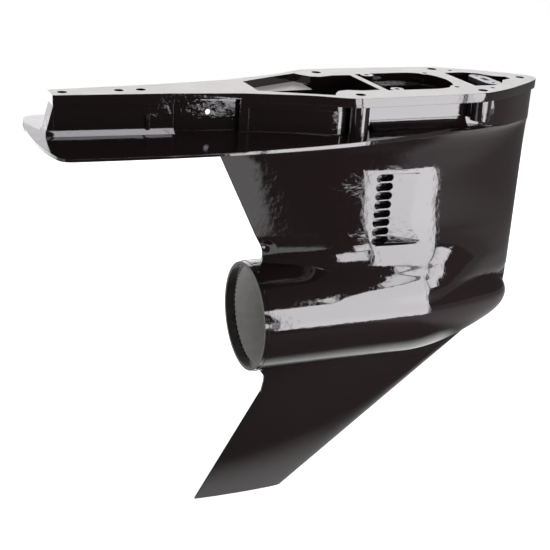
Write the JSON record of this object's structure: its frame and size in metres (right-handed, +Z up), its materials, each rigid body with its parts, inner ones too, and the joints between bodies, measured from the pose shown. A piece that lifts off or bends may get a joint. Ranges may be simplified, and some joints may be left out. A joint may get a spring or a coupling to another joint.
{
  "type": "outboard lower unit",
  "caption": "Outboard motor gearcase with its drive shaft, bevel gear train, dog clutch, propeller shaft and shift linkage.",
  "frame": {"origin": "centre of the four deck bolts, on the flat top face that meets the drive shaft housing", "axes": "+X to the bow along the propeller shaft, +Y to port, +Z up along the drive shaft, square to the deck"},
  "size_m": [0.5895, 0.1884, 0.496],
  "materials": {
    "bearing_steel": "ground",
    "bronze": "machined",
    "carrier_alloy": "machined and anodised",
    "casting": "gloss black paint over cast aluminium",
    "gear_steel": "case-hardened, ground",
    "screw_steel": "stainless steel",
    "seal_rubber": "moulded",
    "shaft_steel": "ground stainless steel",
    "washer_steel": "stamped stainless steel"
  },
  "bodies": {
    "housing": {"gearcase_housing": "casting", "bearing_carrier": "carrier_alloy", "carrier_o_ring": "seal_rubber", "carrier_tab_washer": "washer_steel", "carrier_ring_nut": "carrier_alloy", "carrier_needle_shell": "bearing_steel", "prop_shaft_seals": "seal_rubber", "reverse_bearing_outer": "bearing_steel", "forward_bearing_cup": "bearing_steel", "upper_bearing_cup": "bearing_steel", "upper_bearing_nut": "screw_steel", "drive_shaft_seal": "seal_rubber", "pinion_needle_shell": "bearing_steel", "shift_shaft_bushing": "bronze", "shift_shaft_seal": "seal_rubber", "shift_shaft_retainer": "carrier_alloy", "retainer_screws": "screw_steel", "drain_plug": "screw_steel", "drain_plug_washer": "seal_rubber", "vent_plug": "screw_steel", "vent_plug_washer": "seal_rubber", "passage_plug": "screw_steel"},
    "drive_shaft": {"drive_shaft": "shaft_steel", "pinion_gear": "gear_steel", "pinion_nut": "screw_steel", "upper_bearing_inner": "bearing_steel"},
    "forward_gear": {"forward_gear": "gear_steel", "forward_bearing_inner": "bearing_steel"},
    "reverse_gear": {"reverse_gear": "gear_steel", "reverse_bearing_inner": "bearing_steel"},
    "prop_shaft": {"prop_shaft": "shaft_steel", "forward_gear_needles": "bearing_steel"},
    "clutch": {"clutch_dog": "gear_steel", "clutch_cross_pin": "shaft_steel", "clutch_retaining_spring": "shaft_steel", "shift_rod_spool": "shaft_steel"},
    "shift_shaft": {"shift_shaft": "shaft_steel", "shift_crank": "gear_steel"},
    "forward_roller_row": {"forward_bearing_rollers": "bearing_steel"},
    "upper_roller_row": {"upper_bearing_rollers": "bearing_steel"},
    "ball_row": {"reverse_bearing_balls": "bearing_steel"},
    "pinion_needle_row": {"pinion_needles": "bearing_steel"},
    "carrier_needle_row": {"carrier_needles": "bearing_steel"}
  },
  "joints": [
    {"name": "drive_shaft_spin", "type": "hinge", "parent": "housing", "child": "drive_shaft", "pos_m": [0.0165, 0, -0.1], "axis": [0, 0, 1], "continuous": true},
    {"name": "forward_gear_spin", "type": "hinge", "parent": "housing", "child": "forward_gear", "pos_m": [0.0165, 0, -0.265], "axis": [1, 0, 0], "continuous": true},
    {"name": "reverse_gear_spin", "type": "hinge", "parent": "housing", "child": "reverse_gear", "pos_m": [0.0165, 0, -0.265], "axis": [1, 0, 0], "continuous": true},
    {"name": "prop_shaft_spin", "type": "hinge", "parent": "housing", "child": "prop_shaft", "pos_m": [-0.05, 0, -0.265], "axis": [1, 0, 0], "continuous": true},
    {"name": "shift_shaft_turn", "type": "hinge", "parent": "housing", "child": "shift_shaft", "pos_m": [0.113, 0, -0.1], "axis": [0, 0, 1], "range_deg": [-28, 28]},
    {"name": "clutch_slide", "type": "slide", "parent": "prop_shaft", "child": "clutch", "axis": [1, 0, 0], "range_m": [-0.0056, 0.0056]},
    {"name": "forward_rollers_turn", "type": "hinge", "parent": "housing", "child": "forward_roller_row", "pos_m": [0.0645, 0, -0.265], "axis": [1, 0, 0], "continuous": true},
    {"name": "upper_rollers_turn", "type": "hinge", "parent": "housing", "child": "upper_roller_row", "pos_m": [0.0165, 0, -0.088], "axis": [0, 0, 1], "continuous": true},
    {"name": "balls_turn", "type": "hinge", "parent": "housing", "child": "ball_row", "pos_m": [-0.0375, 0, -0.265], "axis": [1, 0, 0], "continuous": true},
    {"name": "pinion_needles_turn", "type": "hinge", "parent": "housing", "child": "pinion_needle_row", "pos_m": [0.0165, 0, -0.185], "axis": [0, 0, 1], "continuous": true},
    {"name": "carrier_needles_turn", "type": "hinge", "parent": "housing", "child": "carrier_needle_row", "pos_m": [-0.085, 0, -0.265], "axis": [1, 0, 0], "continuous": true}
  ],
  "couplings": [
    {"joint": "forward_gear_spin", "follows": "drive_shaft_spin", "ratio": -0.5},
    {"joint": "reverse_gear_spin", "follows": "drive_shaft_spin", "ratio": 0.5},
    {"joint": "shift_shaft_turn", "follows": "clutch_slide", "rad_per_m": -87.26},
    {"joint": "forward_rollers_turn", "follows": "drive_shaft_spin", "ratio": -0.2237},
    {"joint": "upper_rollers_turn", "follows": "drive_shaft_spin", "ratio": 0.4177},
    {"joint": "balls_turn", "follows": "drive_shaft_spin", "ratio": 0.2125},
    {"joint": "pinion_needles_turn", "follows": "drive_shaft_spin", "ratio": 0.4368},
    {"joint": "carrier_needles_turn", "follows": "prop_shaft_spin", "ratio": 0.4482}
  ]
}
